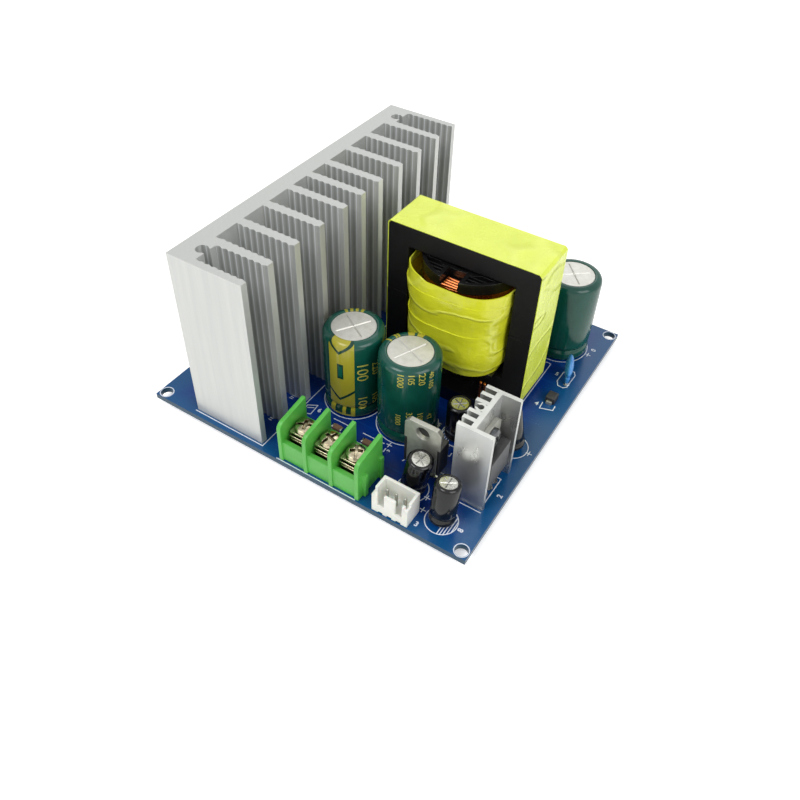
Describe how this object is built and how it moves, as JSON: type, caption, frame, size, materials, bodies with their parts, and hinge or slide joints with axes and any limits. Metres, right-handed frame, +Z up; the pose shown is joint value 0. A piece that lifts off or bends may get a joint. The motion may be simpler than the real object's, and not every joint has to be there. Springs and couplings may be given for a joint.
{
  "type": "boost converter board",
  "caption": "Square circuit board with a tall finned heatsink, a ferrite-core transformer, upright capacitors, a screw terminal block, a pin header and a small finned heatsink",
  "frame": {"origin": "middle of the four mounting holes, on the underside of the board", "axes": "+X along the terminal edge to the small heatsink, +Y away from that edge, +Z up out of the board"},
  "size_m": [0.096, 0.095, 0.0536],
  "materials": {
    "board": "satin solder mask",
    "bare_aluminium": "extruded, satin",
    "tinned_metal": "tinned",
    "plated_steel": "nickel plated",
    "black_screw": "black oxide",
    "package_black": "moulded epoxy",
    "pad_grey": "matt silicone",
    "ferrite": "matt ground ferrite",
    "core_tape": "polyester tape",
    "bobbin_black": "moulded phenolic",
    "copper": "enamelled copper",
    "winding_tape": "polyester tape",
    "sleeve_green": "shrunk sleeve",
    "sleeve_black": "shrunk sleeve",
    "can_aluminium": "drawn can",
    "terminal_green": "moulded",
    "header_white": "moulded nylon",
    "solder": "reflowed solder",
    "disc_blue": "dipped coating",
    "chip_brown": "ceramic"
  },
  "bodies": {
    "root": {"ceramic_capacitor_disc": "disc_blue", "ceramic_capacitor_leads": "tinned_metal", "chip_bodies": "chip_brown", "chip_terminals": "tinned_metal", "circuit_board": "board", "diode_body": "package_black", "diode_terminals": "tinned_metal", "front_transistor_body": "package_black", "front_transistor_leads": "tinned_metal", "front_transistor_tab": "tinned_metal", "header_housing": "header_white", "header_pins": "tinned_metal", "heatsink_screws": "plated_steel", "insulating_pads": "pad_grey", "large_capacitor_cans": "can_aluminium", "large_capacitor_sleeves": "sleeve_green", "lead_out_wires": "copper", "main_heatsink": "bare_aluminium", "power_device_bodies": "package_black", "power_device_leads": "tinned_metal", "power_device_screws": "plated_steel", "power_device_tabs": "tinned_metal", "regulator_body": "package_black", "regulator_heatsink": "bare_aluminium", "regulator_heatsink_pin": "tinned_metal", "regulator_leads": "tinned_metal", "regulator_screw": "black_screw", "regulator_tab": "tinned_metal", "small_capacitor_1_can": "can_aluminium", "small_capacitor_1_sleeve": "sleeve_black", "small_capacitor_2_can": "can_aluminium", "small_capacitor_2_sleeve": "sleeve_black", "small_capacitor_3_can": "can_aluminium", "small_capacitor_3_sleeve": "sleeve_black", "small_capacitor_4_can": "can_aluminium", "small_capacitor_4_sleeve": "sleeve_black", "small_capacitor_leads": "tinned_metal", "solder_joints": "solder", "terminal_clamps": "plated_steel", "terminal_contacts": "plated_steel", "terminal_housing": "terminal_green", "terminal_screws": "plated_steel", "transformer_bobbin": "bobbin_black", "transformer_core_lower": "ferrite", "transformer_core_tape": "core_tape", "transformer_core_upper": "ferrite", "transformer_winding": "copper", "winding_tape": "winding_tape", "winding_top_turns": "copper"}
  },
  "joints": []
}
